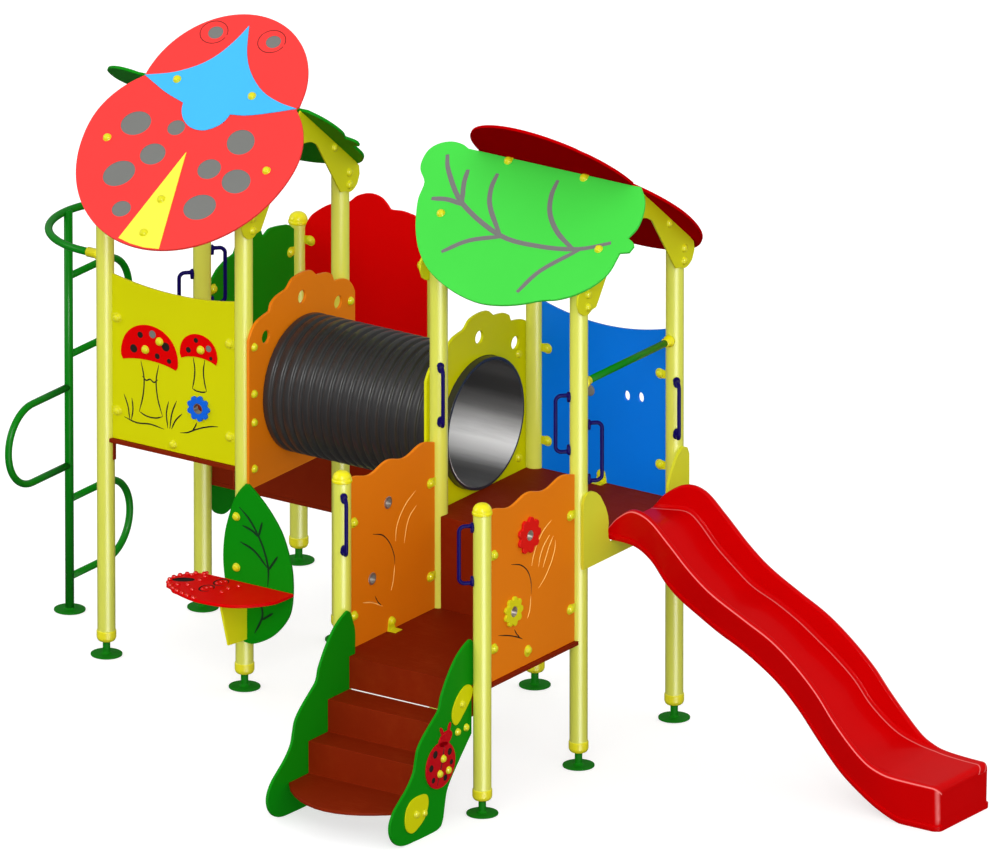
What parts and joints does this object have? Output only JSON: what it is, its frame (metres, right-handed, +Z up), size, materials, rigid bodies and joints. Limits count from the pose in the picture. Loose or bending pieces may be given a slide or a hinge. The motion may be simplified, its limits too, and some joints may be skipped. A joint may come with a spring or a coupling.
{
  "type": "playground structure",
  "caption": "Roofed play towers joined by a crawl tunnel, with a stair, a rear landing, a looped climbing frame, a wave slide and a leaf-backed seat.",
  "frame": {"origin": "centre of the underside of the ground disc under the left tower's front outer post", "axes": "+X runs from the climbing frame past the towers to the foot of the slide, +Y from the stair to the rear landing, +Z up"},
  "size_m": [6.517, 4.0053, 3.8503],
  "materials": {
    "post_yellow": "smooth powder coat",
    "gable_yellow": "smooth powder coat",
    "deck_brown": "textured powder coat",
    "pipe_green": "smooth powder coat",
    "handle_navy": "smooth powder coat",
    "board_orange": "fine grain",
    "board_yellow": "fine grain",
    "board_green": "fine grain",
    "board_blue": "fine grain",
    "board_red": "fine grain",
    "board_coral": "fine grain",
    "board_light_green": "fine grain",
    "tunnel_black": "satin",
    "slide_red": "gloss",
    "flower_red": "satin",
    "flower_yellow": "satin",
    "flower_blue": "satin",
    "flower_white": "satin"
  },
  "bodies": {
    "structure": {"left_post_front_outer": "post_yellow", "left_post_front_inner": "post_yellow", "left_post_back_outer": "post_yellow", "left_post_back_inner": "post_yellow", "right_post_front_inner": "post_yellow", "right_post_front_outer": "post_yellow", "right_post_back_inner": "post_yellow", "right_post_back_outer": "post_yellow", "front_landing_post_left": "post_yellow", "front_landing_post_right": "post_yellow", "back_landing_post_left": "post_yellow", "back_landing_post_right": "post_yellow", "deck_left": "deck_brown", "deck_right": "deck_brown", "landing_front": "deck_brown", "landing_back": "deck_brown", "riser_front": "deck_brown", "riser_back": "deck_brown", "stair_treads": "deck_brown", "gable_left_outer": "gable_yellow", "gable_left_inner": "gable_yellow", "gable_right_inner": "gable_yellow", "gable_right_outer": "gable_yellow", "handle_stair_left": "handle_navy", "handle_stair_right": "handle_navy", "handle_deck_left": "handle_navy", "handle_deck_right": "handle_navy", "handle_slide_front": "handle_navy", "handle_slide_back": "handle_navy", "handle_climber_front": "handle_navy", "handle_climber_back": "handle_navy", "handle_landing_left": "handle_navy", "handle_landing_right": "handle_navy", "stair_panel_left": "board_orange", "stair_panel_right": "board_orange", "tunnel_panel_left": "board_orange", "tunnel_panel_right": "board_yellow", "front_panel": "board_yellow", "slide_entry_panel": "board_yellow", "seat_gusset": "board_yellow", "stringer_left": "board_green", "stringer_right": "board_green", "back_side_panel": "board_green", "leaf_back_plate": "board_green", "roof_left_back": "board_green", "back_panel_right": "board_blue", "back_end_panel": "board_red", "roof_right_back": "board_red", "seat_board": "board_red", "roof_left_front": "board_coral", "roof_right_front": "board_light_green", "tunnel_tube": "tunnel_black", "slide": "slide_red", "slide_guard_bar": "pipe_green", "climber": "pipe_green"},
    "flower_right_upper_spinner": {"flower_right_upper": "flower_red"},
    "flower_right_lower_spinner": {"flower_right_lower": "flower_yellow"},
    "flower_left_upper_spinner": {"flower_left_upper": "flower_white"},
    "flower_left_lower_spinner": {"flower_left_lower": "flower_red"},
    "flower_front_spinner": {"flower_front": "flower_blue"}
  },
  "joints": [
    {"name": "flower_right_upper_spin", "type": "hinge", "parent": "structure", "child": "flower_right_upper_spinner", "pos_m": [3.4, -0.54, 1.605], "axis": [1, 0, 0], "continuous": true},
    {"name": "flower_right_lower_spin", "type": "hinge", "parent": "structure", "child": "flower_right_lower_spinner", "pos_m": [3.4, -0.705, 1.178], "axis": [1, 0, 0], "continuous": true},
    {"name": "flower_left_upper_spin", "type": "hinge", "parent": "structure", "child": "flower_left_upper_spinner", "pos_m": [2.4, -0.54, 1.605], "axis": [-1, 0, 0], "continuous": true},
    {"name": "flower_left_lower_spin", "type": "hinge", "parent": "structure", "child": "flower_left_lower_spinner", "pos_m": [2.4, -0.705, 1.178], "axis": [-1, 0, 0], "continuous": true},
    {"name": "flower_front_spin", "type": "hinge", "parent": "structure", "child": "flower_front_spinner", "pos_m": [0.684, 0, 1.692], "axis": [0, -1, 0], "continuous": true}
  ]
}
